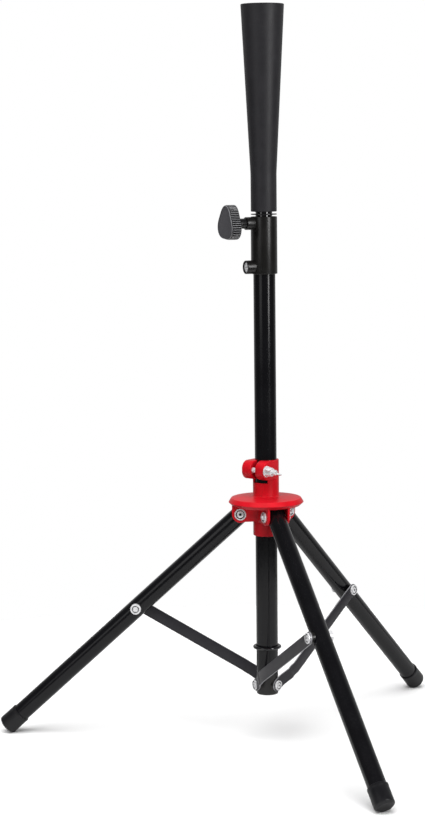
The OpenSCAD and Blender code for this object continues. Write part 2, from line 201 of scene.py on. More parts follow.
def lathe_mesh(bm, profile, matrix=AXIS, segments=96, arc=None):
    """Sweeps a (radius, z) outline about +Z, all round or over arc = (start, end) degrees."""
    start, end = arc or (0, 360)
    rings = segments if arc is None else segments + 1
    columns = []
    for i in range(rings):
        angle = math.radians(start + (end - start) * i / segments)
        turn = Vector((math.cos(angle), math.sin(angle), 0))
        places = (turn * point.x + Vector((0, 0, point.y)) for point in profile)
        columns.append([bm.verts.new(matrix @ place) for place in places])
    count = len(profile)
    for i in range(segments):
        one, two = columns[i], columns[(i + 1) % rings]
        for k in range(count):
            quad = (one[k], two[k], two[(k + 1) % count], one[(k + 1) % count])
            on_axis = max(profile[k].x, profile[(k + 1) % count].x) < SAME_POINT
            if not on_axis:
                bm.faces.new(quad)
    if arc is not None:
        bm.faces.new(columns[0])
        bm.faces.new(reversed(columns[-1]))


def lathe(name, profile, matrix=AXIS, segments=96, arc=None, smooth_angle=35):
    """An object of revolution."""
    bm = bmesh.new()
    lathe_mesh(bm, profile, matrix, segments, arc)
    return new_object(name, bm, smooth_angle)


def skin(bm, rows):
    """Joins closed rows of vertices, and caps the first and the last row."""
    count = len(rows[0])
    for one, two in zip(rows, rows[1:]):
        for i in range(count):
            bm.faces.new((one[i], one[(i + 1) % count], two[(i + 1) % count], two[i]))
    bm.faces.new(list(reversed(rows[0])))
    bm.faces.new(rows[-1])


def plate_mesh(bm, outline, low, high, edge, matrix=AXIS, steps=3):
    """A flat plate between z = low and high, its long edges rounded by edge."""
    count = len(outline)
    layers = []
    for k in range(steps + 1):
        slope = math.pi / 2 * k / steps
        layers.append((edge * (1 - math.sin(slope)), low + edge * (1 - math.cos(slope))))
    layers += [(inset, high + low - z) for inset, z in reversed(layers)]
    rows = []
    for inset, z in layers:
        row = []
        for i, point in enumerate(outline):
            before, after = point - outline[i - 1], outline[(i + 1) % count] - point
            normal = before.normalized() + after.normalized()
            inward = Vector((-normal.y, normal.x)).normalized() * inset
            place = Vector((point.x + inward.x, point.y + inward.y, z))
            row.append(bm.verts.new(matrix @ place))
        rows.append(row)
    skin(bm, rows)


def block(name, matrix, *sides):
    """A box of those sides, centred on the matrix's origin."""
    bm = bmesh.new()
    bmesh.ops.create_cube(bm, size=1, matrix=matrix @ Matrix.Diagonal((*sides, 1)))
    return new_object(name, bm)


def plate(name, outline, low, high, edge, matrix=AXIS):
    """A flat plate with rounded edges; outline runs anticlockwise."""
    bm = bmesh.new()
    plate_mesh(bm, outline, low, high, edge, matrix)
    return new_object(name, bm)


def tube_profile(outer, inner, low, high, edge=0.4 * MM):
    """Outline of a tube's wall, for lathe."""
    return rounded([(inner, low, 0), (outer, low, edge), (outer, high, edge), (inner, high, 0)])


def disc_profile(radius, low, high, edge):
    """Outline of a solid disc, for lathe."""
    return rounded([(0, low, 0), (radius, low, edge), (radius, high, edge), (0, high, 0)])


def combine(name, target, others, operation="UNION", smooth_angle=35):
    """Boolean of meshes: the others are used up, and target gets the welded result."""
    for other in others:
        step = target.modifiers.new("cut", "BOOLEAN")
        step.operation = operation
        step.solver = "EXACT"
        step.object = other
    depsgraph = bpy.context.evaluated_depsgraph_get()
    mesh = bpy.data.meshes.new_from_object(target.evaluated_get(depsgraph))
    bm = bmesh.new()
    bm.from_mesh(mesh)
    bmesh.ops.remove_doubles(bm, verts=bm.verts, dist=WELD)
    bm.to_mesh(mesh)
    bm.free()
    target.modifiers.clear()
    target.data = mesh
    for other in others:
        bpy.data.objects.remove(other)
    mesh.shade_smooth()
    mesh.set_sharp_from_angle(angle=math.radians(smooth_angle))
    target.name = name
    return target


def merge(name, objects):
    """One object from several closed meshes, kept as they are."""
    finishes = max((list(obj.data.materials) for obj in objects), key=len)
    bm = bmesh.new()
    for obj in objects:
        bm.from_mesh(obj.data)
        bpy.data.objects.remove(obj)
    merged = new_object(name, bm)
    for finish in finishes:
        merged.data.materials.append(finish)
    return merged


# ---------------------------------------------------------------- materials
def new_material(name, color, roughness, metallic=0.0, specular=0.5):
    """A Principled material and its shader."""
    material = bpy.data.materials.new(name)
    material.use_nodes = True
    shader = material.node_tree.nodes["Principled BSDF"]
    shader.inputs["Base Color"].default_value = (*color, 1)
    shader.inputs["Roughness"].default_value = roughness
    shader.inputs["Metallic"].default_value = metallic
    shader.inputs["Specular IOR Level"].default_value = specular
    return material, shader


def noise(material, scale, detail):
    """A noise texture in the object's own coordinates, in metres."""
    nodes, links = material.node_tree.nodes, material.node_tree.links
    place = nodes.new("ShaderNodeTexCoord")
    texture = nodes.new("ShaderNodeTexNoise")
    texture.inputs["Scale"].default_value = scale
    texture.inputs["Detail"].default_value = detail
    links.new(place.outputs["Object"], texture.inputs["Vector"])
    return texture.outputs["Fac"]


def ramp(material, value, dark, light):
    """Fades from dark to light over the middle of a noise value."""
    node = material.node_tree.nodes.new("ShaderNodeValToRGB")
    stops = ((0.35, dark), (0.65, light))
    for element, (position, color) in zip(node.color_ramp.elements, stops):
        element.position = position
        element.color = (*color, 1)
    material.node_tree.links.new(value, node.inputs["Fac"])
    return node.outputs["Color"]


def spread(material, value, low, high):
    """Maps the middle of a noise value to the range from low to high."""
    node = material.node_tree.nodes.new("ShaderNodeMapRange")
    node.inputs["From Min"].default_value = 0.3
    node.inputs["From Max"].default_value = 0.7
    node.inputs["To Min"].default_value = low
    node.inputs["To Max"].default_value = high
    material.node_tree.links.new(value, node.inputs["Value"])
    return node.outputs["Result"]


def bump(material, shader, height, distance, strength):
    """Bumps the surface by a height value; distance is in metres."""
    nodes, links = material.node_tree.nodes, material.node_tree.links
    node = nodes.new("ShaderNodeBump")
    node.inputs["Distance"].default_value = distance
    node.inputs["Strength"].default_value = strength
    links.new(height, node.inputs["Height"])
    links.new(node.outputs["Normal"], shader.inputs["Normal"])


def mottled(name, light, dark, rough, metallic=0.0, specular=0.5, patch=60, grain=900,
            depth=0.02 * MM, strength=0.3):
    """Colour and roughness that vary softly in patches, over a fine grained surface."""
    material, shader = new_material(name, light, rough[0], metallic, specular)
    links = material.node_tree.links
    patches = noise(material, patch, 5)
    grains = noise(material, grain, 2)
    links.new(ramp(material, patches, dark, light), shader.inputs["Base Color"])
    links.new(spread(material, patches, *rough), shader.inputs["Roughness"])
    bump(material, shader, grains, depth, strength)
    return material


def metal(name, light, dark, rough, metallic, patch=300):
    """A plated or bare metal with a very fine grain."""
    return mottled(name, light, dark, rough, metallic, patch=patch, grain=2500, depth=0.01 * MM)


def make_materials():
    """Every finish of the tee, by the record's slot or a name of its own."""
    found = {}
    # stoved black enamel, with the slight ripple that sprayed tube has
    found["black_tube"] = mottled(
        "black_enamel", (0.0046, 0.0045, 0.0055), (0.0033, 0.0032, 0.0040), (0.14, 0.22),
        patch=40, grain=350, depth=0.01 * MM, strength=0.2, specular=0.4)
    found["polished_tube"] = mottled(
        "polished_black", (0.0046, 0.0045, 0.0055), (0.0033, 0.0032, 0.0040), (0.07, 0.12),
        patch=40, grain=350, depth=0.005 * MM, strength=0.2, specular=1.0)
    found["strut_paint"] = mottled(
        "strut_enamel", (0.0195, 0.0182, 0.0228), (0.0145, 0.0136, 0.0175), (0.34, 0.44),
        grain=1100)
    found["black_plastic"] = mottled(
        "moulded_nylon", (0.0072, 0.0068, 0.0064), (0.0052, 0.0048, 0.0046), (0.28, 0.36),
        patch=90, grain=1500, specular=0.65)
    found["knob_grip"] = mottled(
        "knob_grip", (0.010, 0.010, 0.0105), (0.007, 0.007, 0.0075), (0.16, 0.24),
        patch=90, grain=1500, depth=0.01 * MM, specular=0.9)
    # painted highlight: a light grey for the tops of the knob's ridges and for the chamfer round
    # its face
    found["knob_painted_highlight"] = mottled(
        "knob_painted_highlight", (0.23, 0.23, 0.24), (0.17, 0.17, 0.18), (0.18, 0.26),
        patch=200, grain=1500, depth=0.01 * MM, specular=0.9)
    found["knob_face"] = mottled(
        "knob_plastic", (0.066, 0.064, 0.074), (0.052, 0.050, 0.059), (0.40, 0.48),
        patch=120, grain=2000)
    found["rubber"] = mottled(
        "moulded_rubber", (0.0230, 0.0222, 0.0252), (0.0190, 0.0183, 0.0210), (0.44, 0.54),
        patch=70, grain=1200, depth=0.03 * MM, strength=0.4)
    found["foot_rubber"] = mottled(
        "foot_rubber", (0.0062, 0.0060, 0.0072), (0.0042, 0.0041, 0.0052), (0.34, 0.44),
        patch=90, grain=1000, depth=0.03 * MM, strength=0.4)
    found["red_plastic"] = mottled(
        "red_nylon", (0.60, 0.0065, 0.016), (0.52, 0.005, 0.012), (0.32, 0.40),
        patch=70, grain=1300, specular=0.25)
    found["bright_steel"] = metal(
        "bright_zinc", (0.93, 0.93, 0.94), (0.80, 0.80, 0.82), (0.20, 0.32), 0.4)
    found["bright_head"] = metal(
        "bright_head", (0.95, 0.95, 0.96), (0.84, 0.84, 0.86), (0.16, 0.24), 0.1, patch=400)
    # painted shade: a darker copy of the bright zinc for the groove in the brace cups
    found["dull_steel"] = metal(
        "cup_groove_painted_shade", (0.22, 0.22, 0.225), (0.14, 0.14, 0.145), (0.32, 0.42), 0.6)
    found["sheared_edge"] = metal(
        "sheared_edge", (0.46, 0.46, 0.48), (0.34, 0.34, 0.36), (0.30, 0.40), 0.5)
    # painted shade: near black for the grooves and sockets of the heads
    found["painted_recess_shade"] = metal(
        "painted_recess_shade", (0.03, 0.03, 0.032), (0.015, 0.015, 0.016), (0.5, 0.6), 0.5, patch=400)
    return found


MATERIAL = make_materials()


def dress(obj, finish, body, *nodes):
    """Gives a piece its material and body, and hides the CAD nodes it stands for."""
    if not obj.data.materials:
        obj.data.materials.append(MATERIAL[finish])
    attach(obj, body)
    if nodes:
        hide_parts(*nodes)
    return obj


# ---------------------------------------------------------------- hardware
def bolt_head(name, radius, height, matrix):
    """Round plated head: a raised rim, a groove, and a domed middle with a socket; the groove and
    socket get painted shade.
    """
    profile = rounded([(0, 0, 0), (radius, 0, 0.2 * MM), (radius, height, 0.6 * MM),
                       (0.76 * radius, height, 0.3 * MM), (0.72 * radius, 0.2 * height, 0.1 * MM),
                       (0.61 * radius, 0.2 * height, 0.1 * MM),
                       (0.58 * radius, 0.85 * height, 0.35 * MM),
                       (0.3 * radius, height, 1.2 * MM), (0, height, 0)], steps=4)
    head = lathe(name, profile, matrix, 64)
    bm = bmesh.new()
    plate_mesh(bm, circle_points(0.27 * radius, 6), 0.25 * height, 1.5 * height, 0.05 * MM,
               matrix, 1)
    head = combine(name, head, [new_object("socket", bm)], "DIFFERENCE")
    head.data.materials.append(MATERIAL["bright_steel"])
    head.data.materials.append(MATERIAL["painted_recess_shade"])
    inverse = matrix.inverted()
    # the groove and the socket are painted near black as shade
    for face in head.data.polygons:
        place = inverse @ face.center
        out = math.hypot(place.x, place.y) / radius
        low = 0.1 * height < place.z < 0.8 * height
        face.material_index = 1 if low and (out < 0.275 or 0.6 < out < 0.75) else 0
    return head


def slotted_head(name, radius, height, matrix):
    """Round plated head, slightly domed, with a narrow slot across it."""
    profile = rounded([(0, 0, 0), (radius, 0, 0.2 * MM), (radius, 0.6 * height, 0.5 * MM),
                       (0.5 * radius, height, 4 * MM), (0, height, 0)], steps=6)
    head = lathe(name, profile, matrix, 64)
    slot = Matrix.Translation((0, 0, 1.4 * height)) @ Matrix.Rotation(math.radians(20), 4, "Z")
    cut = block("slot", matrix @ slot, 1.1 * radius, 0.2 * radius, 1.8 * height)
    head = combine(name, head, [cut], "DIFFERENCE")
    head.data.materials.append(MATERIAL["bright_head"])
    return head


def shank(name, radius, low, high, matrix):
    """Plain round rod with chamfered ends."""
    return lathe(name, disc_profile(radius, low, high, 0.3 * MM), matrix, 40)


# ---------------------------------------------------------------- column
def build_column():
    """Main tube, the fitting in its foot with three bosses, and the ring above it."""
    inner = TUBE_R - TUBE_WALL
    dress(lathe("tube_shell", tube_profile(TUBE_R, inner, TUBE_LOW, TUBE_HIGH), segments=128),
          "black_tube", "column", "main_tube")

    low = COLUMN_LOW
    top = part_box("bottom_fitting")[1][2]
    body = lathe("fitting", rounded([
        (FITTING_BORE_R, low + 10 * MM, 0), (FITTING_BORE_R, low, 0.5 * MM),
        (TUBE_R, low, 1.2 * MM), (TUBE_R, TUBE_LOW - 0.2 * MM, 0.3 * MM),
        (inner, TUBE_LOW - 0.1 * MM, 0), (inner, top, 1 * MM), (FITTING_BORE_R, top, 0)]),
        segments=128)
    bosses = []
    for leg in LEGS:
        screw = middle("strut_screw_" + leg)
        azimuth = math.degrees(math.atan2(screw.y, screw.x))
        outline = disc_profile(FITTING_BOSS_R, 9 * MM, STRUT_IN - 0.3 * MM, 0.8 * MM)
        bosses.append(lathe("boss", outline, radial_frame(azimuth, screw.z), 64))
    dress(combine("column_fitting", body, bosses), "black_plastic", "column", "bottom_fitting")

    low, high = (corner[2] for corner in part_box("stop_ring"))
    ring_r, half = size("stop_ring").x / 2, (high - low) / 2
    outline = circle_points(half - 0.02 * MM, 28, ring_r - half, (low + high) / 2)
    dress(lathe("tube_stop_ring", outline), "polished_tube", "stop_ring", "stop_ring")


def build_collar():
    """Collar over the tube's top, with the knob's boss, the lower boss and its screw."""
    body = lathe("collar", rounded([
        (TUBE_R, COLLAR_LOW, 0.3 * MM), (COLLAR_R, COLLAR_LOW, 0.8 * MM),
        (COLLAR_R, COLLAR_HIGH, 0.8 * MM), (POLE_R + 0.1 * MM, COLLAR_HIGH, 0.5 * MM),
        (POLE_R + 0.1 * MM, COLLAR_HIGH - COLLAR_LIP, 0), (TUBE_R, COLLAR_HIGH - COLLAR_LIP, 0)]),
        segments=128)
    upper = lathe("boss", disc_profile(KNOB_BOSS_R, BOSS_ROOT, BOSS_END, 0.8 * MM),
                  radial_frame(KNOB_AZIMUTH, KNOB_Z), 72)
    seat = FIX_END - FIX_RECESS_DEPTH
    lower = lathe("boss", rounded([
        (0, BOSS_ROOT, 0), (FIX_BOSS_R, BOSS_ROOT, 0), (FIX_BOSS_R, FIX_END, 0.7 * MM),
        (FIX_RECESS_R, FIX_END, 0.3 * MM), (FIX_RECESS_R, seat, 0.1 * MM), (0, seat, 0)]),
        radial_frame(KNOB_AZIMUTH, FIX_Z), 72)
    dress(combine("collar_body", body, [upper, lower]), "black_plastic", "column",
          "upper_collar", "clamp_insert")
    head = slotted_head("collar_screw_head", FIX_HEAD_R, 1.9 * MM,
                        radial_frame(KNOB_AZIMUTH, FIX_Z, seat))
    dress(head, "bright_steel", "column", "collar_screw")


def knob_side(angle, depth):
    """Distance of the knob's side from its axis at an angle, with grooves of a depth in mm."""
    lobes = KNOB_LOBE * math.cos(3 * (angle - KNOB_TOP_LOBE))
    ridge = abs(math.sin(KNOB_RIDGES * angle / 2))
    return (KNOB_R + lobes - depth * (1 - ridge)) * MM


def build_knob():
    """Three-lobed knob with a ridged side and a dished face, its neck, and the stud."""
    bm = bmesh.new()
    place = radial_frame(KNOB_AZIMUTH, KNOB_Z)
    steps = KNOB_RIDGES * POINTS_PER_RIDGE
    back, front = KNOB_BACK, KNOB_FRONT
    # height along the axis, groove depth, and share of the full radius
    layers = [(back, 0, 0.35), (back, 0, 0.90), (back + 0.5 * MM, 0.2, 0.985),
              (back + 0.8 * MM, KNOB_RIDGE, 1), (front - 2.3 * MM, KNOB_RIDGE, 1),
              (front - 1.8 * MM, 0.1, 1), (front - 0.8 * MM, 0, 0.985),
              (front - 0.15 * MM, 0, 0.95), (front, 0, 0.92), (front - 0.05 * MM, 0, 0.90),
              (front - 0.45 * MM, 0, 0.885), (front - 0.35 * MM, 0, 0.80),
              (front - 0.1 * MM, 0, 0.4)]
    rows = []
    for z, depth, scale in layers:
        row = []
        for i in range(steps):
            angle = 2 * math.pi * i / steps
            r = knob_side(angle, depth) * scale
            row.append(bm.verts.new(place @ Vector((r * math.cos(angle), r * math.sin(angle), z))))
        rows.append(row)
    skin(bm, rows)
    grip = new_object("grip", bm, 58)
    neck_low = BOSS_END + 0.3 * MM
    neck = lathe("neck", rounded([
        (3.2 * MM, neck_low, 0), (KNOB_NECK_R, neck_low, 0.5 * MM),
        (KNOB_NECK_R, back - 3 * MM, 2 * MM), (9.5 * MM, back + 0.5 * MM, 0),
        (3.2 * MM, back + 0.5 * MM, 0)]), place, 64)
    knob = dress(merge("clamp_knob", [grip, neck]), "knob_grip", "knob", "knob")
    knob.data.materials.append(MATERIAL["knob_face"])
    knob.data.materials.append(MATERIAL["knob_painted_highlight"])
    inverse = place.inverted()
    # faces at the front take the face's plastic; the chamfer and the ridge tops take the light grey
    # of painted highlight
    for face in knob.data.polygons:
        spot = inverse @ face.center
        out = math.hypot(spot.x, spot.y)
        crest = knob_side(math.atan2(spot.y, spot.x), 0) - 0.3 * MM
        if spot.z > front - 0.12 * MM or (spot.z > front - MM and out < 0.92 * crest):
            face.material_index = 1
        elif spot.z > front - 0.7 * MM:
            face.material_index = 2
        elif out > crest and back + 0.7 * MM < spot.z < front - 2.0 * MM:
            face.material_index = 2
    dress(shank("knob_stud", STUD_R, POLE_R + 0.3 * MM, front - 3 * MM, place),
          "bright_steel", "clamp_stud", "clamp_stud")


def build_pole():
    """Inner pole with its bush, the thin ring, and the rubber cone on its top."""
    outline = tube_profile(POLE_R, POLE_R - POLE_WALL, POLE_LOW, POLE_HIGH - 0.1 * MM)
    dress(lathe("pole_shell", outline, segments=128), "polished_tube", "pole", "inner_pole")
    low, high = (corner[2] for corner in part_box("support_ring"))
    ring_r = size("support_ring").x / 2
    dress(lathe("cone_ring", rounded([
        (POLE_R, low, 0), (ring_r, low, 0.4 * MM), (ring_r, high, 0.4 * MM),
        (POLE_R, high, 0)])), "polished_tube", "pole", "support_ring")

    low, high = (corner[2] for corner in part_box("ball_cone"))
    rim = size("ball_cone").x / 2
    stem = 14.75 * MM
    stem_top = low + 43 * MM
    wall = 3 * MM
    ledge = stem - wall + (rim - stem) * (POLE_HIGH - stem_top) / (high - stem_top)
    lip, under = POLE_R - 1.4 * MM, POLE_HIGH - 0.05 * MM
    dress(lathe("rubber_cone", rounded([
        (POLE_R, low, 0), (stem, low, 0.9 * MM), (stem, stem_top, 120 * MM), (rim, high, 0.9 * MM),
        (rim - wall, high, 0.9 * MM), (ledge, POLE_HIGH, 1.5 * MM), (lip, POLE_HIGH, 0.5 * MM),
        (lip, under, 0), (POLE_R, under, 0)], steps=8),
        segments=128, smooth_angle=50), "rubber", "pole", "ball_cone")

    low, high = (corner[2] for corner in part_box("pole_bush"))
    bore, spigot, flange = 6 * MM, 8.2 * MM, TUBE_R - 1.58 * MM
    shoulder = POLE_LOW - 0.3 * MM
    dress(lathe("pole_foot_bush", rounded([
        (bore, low, 0), (flange, low, 1 * MM), (flange, shoulder, 0.5 * MM),
        (spigot, shoulder, 0), (spigot, high, 0.5 * MM), (bore, high, 0)])),
        "black_plastic", "pole_bush", "pole_bush")


# ---------------------------------------------------------------- hub
def clamp_frame():
    """Origin on the clamp bolt's axis in the split plane, +Z along the bolt, +Y up."""
    joint = JOINT["wing_nut_turn"]
    return axes_frame(joint["pos_m"], joint["axis"], (0, 0, 1))


def hub_body(bore):
    """Sleeve and sharp-rimmed flange in one turned form."""
    rim, rim_z = FLANGE_R, JOINT["leg_fold_front"]["pos_m"][2] + RIM_OVER_PIVOT
    return lathe("hub", rounded([
        (bore, HUB_LOW, 0.5 * MM), (HUB_R, HUB_LOW, 0.7 * MM),
        (HUB_R, rim_z - 1.8 * MM, 0.8 * MM), (rim - 7 * MM, rim_z - 1.8 * MM, 0.6 * MM),
        (rim - 6.3 * MM, rim_z - 4 * MM, 0.4 * MM), (rim - 4.3 * MM, rim_z - 4 * MM, 0.8 * MM),
        (rim, rim_z - 0.1 * MM, 0.3 * MM), (rim - 3.0 * MM, rim_z + 4.8 * MM, 1.2 * MM),
        (HUB_R + 5 * MM, rim_z + 6.3 * MM, 4 * MM), (HUB_R, rim_z + 6.8 * MM, 1.6 * MM),
        (HUB_R, HUB_HIGH, 0.6 * MM), (bore, HUB_HIGH, 0.4 * MM)]), segments=144)


def hub_ears(place):
    """The two ears of the split clamp, round at their outer ends."""
    across = (place.inverted() @ Vector((0, 0, place.translation.z))).x
    reach = across - math.copysign(EAR_REACH, across)
    half = EAR_HEIGHT / 2
    ears = []
    for side in (-1, 1):
        outline = rounded([(across, -half, 0), (reach, -half, EAR_ROUND),
                           (reach, half, EAR_ROUND), (across, half, 0)], steps=12)
        if reach < across:
            outline.reverse()
        low, high = sorted((side * SPLIT_HALF, side * EAR_FACE))
        ears.append(plate("ear", outline, low, high, 1.0 * MM, place))
    return ears


def hub_lugs():
    """Three pairs of lugs: a round nose about the pivot, and straight back to the sleeve."""
    nose, back, top = 10 * MM, -21.4 * MM, 12 * MM
    turns = [math.radians(-118 + 8 * i) for i in range(16)]
    lugs = []
    for leg in LEGS:
        joint = JOINT["leg_fold_" + leg]
        # lug frame: +Z along the pivot axis, +Y up, +X or -X outward
        lug = axes_frame(joint["pos_m"], joint["axis"], (0, 0, 1))
        outward = (lug.to_3x3() @ Vector((1, 0, 0))).dot(Vector(joint["pos_m"])) > 0
        outline = [Vector((back, -8 * MM))]
        outline += [Vector((nose * math.cos(t), nose * math.sin(t))) for t in turns]
        outline += [Vector((9.9 * MM, top)), Vector((back, top))]
        if not outward:
            outline = [Vector((-point.x, point.y)) for point in reversed(outline)]
        for side in (-1, 1):
            low, high = sorted((side * LUG_IN, side * LUG_OUT))
            lugs.append(plate("lug", outline, low, high, 0.6 * MM, lug))
    return lugs


def hub_cuts(place, bore):
    """Bore, split between the ears, slot below them, and the clamp bolt's countersink."""
    ear_low = HUB_HIGH - EAR_HEIGHT
    slot_low = ear_low - SLOT_HEIGHT
    split_top = HUB_HIGH + 2 * MM
    split_angle = math.degrees(math.atan2(place.translation.y, place.translation.x))
    split = radial_frame(split_angle, (slot_low + split_top) / 2, 20 * MM)
    slot = [Vector(corner) for corner in ((9 * MM, slot_low), (32 * MM, slot_low),
                                          (32 * MM, ear_low), (9 * MM, ear_low))]
    cone = [Vector(corner) for corner in (
        (0, -EAR_FACE - MM), (6.6 * MM, -EAR_FACE - MM),
        (3.2 * MM, -EAR_FACE + 2.4 * MM), (0, -EAR_FACE + 2.4 * MM))]
    return [lathe("bore", disc_profile(bore, HUB_LOW - 5 * MM, HUB_HIGH + 5 * MM, 0), segments=144),
            block("split", split, 2 * SPLIT_HALF - 0.3 * MM, split_top - slot_low, 20 * MM),
            lathe("slot", slot, Matrix.Rotation(math.radians(split_angle), 4, "Z"), 48, (-45, 45)),
            lathe("countersink", cone, place, 48)]


def build_hub():
    """The red moulding, and the clamp's bolt and washer."""
    place = clamp_frame()
    bore = TUBE_R + 0.08 * MM
    body = hub_body(bore)
    body = combine("hub", body, hub_ears(place) + hub_lugs())
    hub = combine("hub_moulding", body, hub_cuts(place, bore), "DIFFERENCE", 32)
    dress(hub, "red_plastic", "hub", "hub")

    end = EAR_FACE + 14 * MM
    bolt = lathe("bolt", rounded([
        (0, -EAR_FACE + 0.05 * MM, 0), (CLAMP_HEAD_R, -EAR_FACE + 0.05 * MM, 0.2 * MM),
        (CLAMP_BOLT_R, -EAR_FACE + 2.4 * MM, 0.3 * MM), (CLAMP_BOLT_R, end, 0.5 * MM),
        (0, end, 0)]), place, 48)
    bm = bmesh.new()
    plate_mesh(bm, circle_points(2.3 * MM, 6), -EAR_FACE - MM, -EAR_FACE + 1.8 * MM, 0.05 * MM,
               place, 1)
    dress(combine("ear_bolt", bolt, [new_object("socket", bm)], "DIFFERENCE"),
          "bright_steel", "hub", "clamp_bolt")
    washer = tube_profile(6.5 * MM, 3.08 * MM, EAR_FACE + 0.05 * MM, EAR_FACE + 1.25 * MM, 0.3 * MM)
    dress(lathe("ear_washer", washer, place, 64), "bright_steel", "clamp_washer", "clamp_washer")


def build_pivots():
    """Bolts through the lugs and the tops of the legs, and their nuts."""
    heads, nuts = [], []
    for leg in LEGS:
        joint = JOINT["leg_fold_" + leg]
        pivot, axis = Vector(joint["pos_m"]), Vector(joint["axis"])
        near = axes_frame(pivot - axis * LUG_OUT, -axis, (0, 0, 1))
        far = axes_frame(pivot + axis * LUG_OUT, axis, (0, 0, 1))
        inward = near @ Matrix.Rotation(math.pi, 4, "X")
        heads.append(bolt_head("head", HEAD_R, HEAD_HEIGHT, near))
        heads.append(shank("rod", BOLT_R, -4 * MM, 2 * LUG_OUT, inward))
        nuts.append(bolt_head("cup", PIVOT_CUP_R, HEAD_HEIGHT, far))
    dress(merge("pivot_bolts", heads), "bright_steel", "hub", "leg_pivot_bolts")
    dress(merge("pivot_nuts", nuts), "bright_steel", "hub", "leg_pivot_nuts")


def build_wing_nut():
    """A tapered barrel with two wings, turned as in the CAD frame."""
    place = clamp_frame() @ Matrix.Translation((0, 0, EAR_FACE + 1.3 * MM))
    parts = [lathe("barrel", rounded([
        (3.1 * MM, 0, 0), (6 * MM, 0, 0.5 * MM), (5.6 * MM, 3 * MM, 1 * MM),
        (4.7 * MM, 7.5 * MM, 0.7 * MM), (3.1 * MM, 7.5 * MM, 0)]), place, 48)]
    outline = rounded([
        (3 * MM, 0.8 * MM, 0), (8.5 * MM, 2.4 * MM, 3 * MM), (14.4 * MM, 6.4 * MM, 3 * MM),
        (13.4 * MM, 12.6 * MM, 3 * MM), (9 * MM, 11.8 * MM, 2 * MM), (3 * MM, 6.8 * MM, 0)])
    # the outline's x runs outward, and its y along the bolt
    upright = axes_frame((0, 0, 0), (1, 0, 0), (0, 0, 1))
    for turn in (WING_TILT + 90, WING_TILT - 90):
        wing = place @ Matrix.Rotation(math.radians(turn), 4, "Z") @ upright
        parts.append(plate("wing", outline, -1.1 * MM, 1.1 * MM, 0.8 * MM, wing))
    dress(merge("clamp_wing_nut", parts), "bright_steel", "wing_nut", "wing_nut")


# ---------------------------------------------------------------- legs and struts
def leg_trim(place, radius):
    """A leg's outline with a round top, to cut its pieces to."""
    middle_z = Matrix.Translation((0, 0, -LEG_LENGTH / 2))
    trim = block("trim", place @ middle_z, 50 * MM, 50 * MM, LEG_LENGTH)
    across = place @ Matrix.Rotation(math.pi / 2, 4, "X")
    end = lathe("end", disc_profile(radius, -15 * MM, 15 * MM, 0), across, 96)
    return combine("trim", trim, [end])


def build_leg(leg):
    """A leg tube, round at its pivot, and the plug in its top."""
    place, body = leg_frame(leg), "leg_" + leg
    bore, foot_end = LEG_R - LEG_WALL, 3 * MM - LEG_LENGTH
    tube = lathe("leg", rounded([
        (bore, foot_end, 0), (LEG_R, foot_end, 0), (LEG_R, LEG_END, 0), (bore, LEG_END, 0)]),
        place, 112)
    tube = combine("leg_tube_" + leg, tube, [leg_trim(place, LEG_R)], "INTERSECT")
    dress(tube, "black_tube", body, "leg_" + leg)
    plug = lathe("plug", disc_profile(bore, -22 * MM, LEG_END, 0), place, 96)
    plug = combine("leg_top_plug_" + leg, plug, [leg_trim(place, LEG_R - 0.5 * MM)], "INTERSECT")
    dress(plug, "black_plastic", body, "leg_plug_" + leg)


def build_foot(leg):
    """Rubber foot: a bead round its mouth, a rounded tread edge, cut level where it stands."""
    floor_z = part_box("foot_" + leg)[0][2]
    low, mouth, seat = -LEG_LENGTH, FOOT_HEIGHT - LEG_LENGTH, 3 * MM - LEG_LENGTH
    bm = bmesh.new()
    lathe_mesh(bm, rounded([
        (0, low, 0), (FOOT_R - 3 * MM, low, 0.4 * MM), (FOOT_R, low + 2 * MM, 2.2 * MM),
        (FOOT_R - 0.2 * MM, low + 21 * MM, 0.5 * MM), (FOOT_R, low + 22 * MM, 0.6 * MM),
        (FOOT_R, mouth, 0.9 * MM), (LEG_R, mouth, 0.2 * MM),
        (LEG_R, seat, 0), (0, seat, 0)], steps=6), leg_frame(leg), 96)
    bmesh.ops.remove_doubles(bm, verts=bm.verts, dist=SAME_POINT)
    geom = list(bm.verts) + list(bm.edges) + list(bm.faces)
    cut = bmesh.ops.bisect_plane(bm, geom=geom, plane_co=(0, 0, floor_z), plane_no=(0, 0, -1),
                                 clear_outer=True, dist=1e-8)
    rim_edges = [edge for edge in cut["geom_cut"] if isinstance(edge, bmesh.types.BMEdge)]
    bmesh.ops.holes_fill(bm, edges=rim_edges)
    dress(new_object("rubber_foot_" + leg, bm, 40), "foot_rubber", "leg_" + leg, "foot_" + leg)


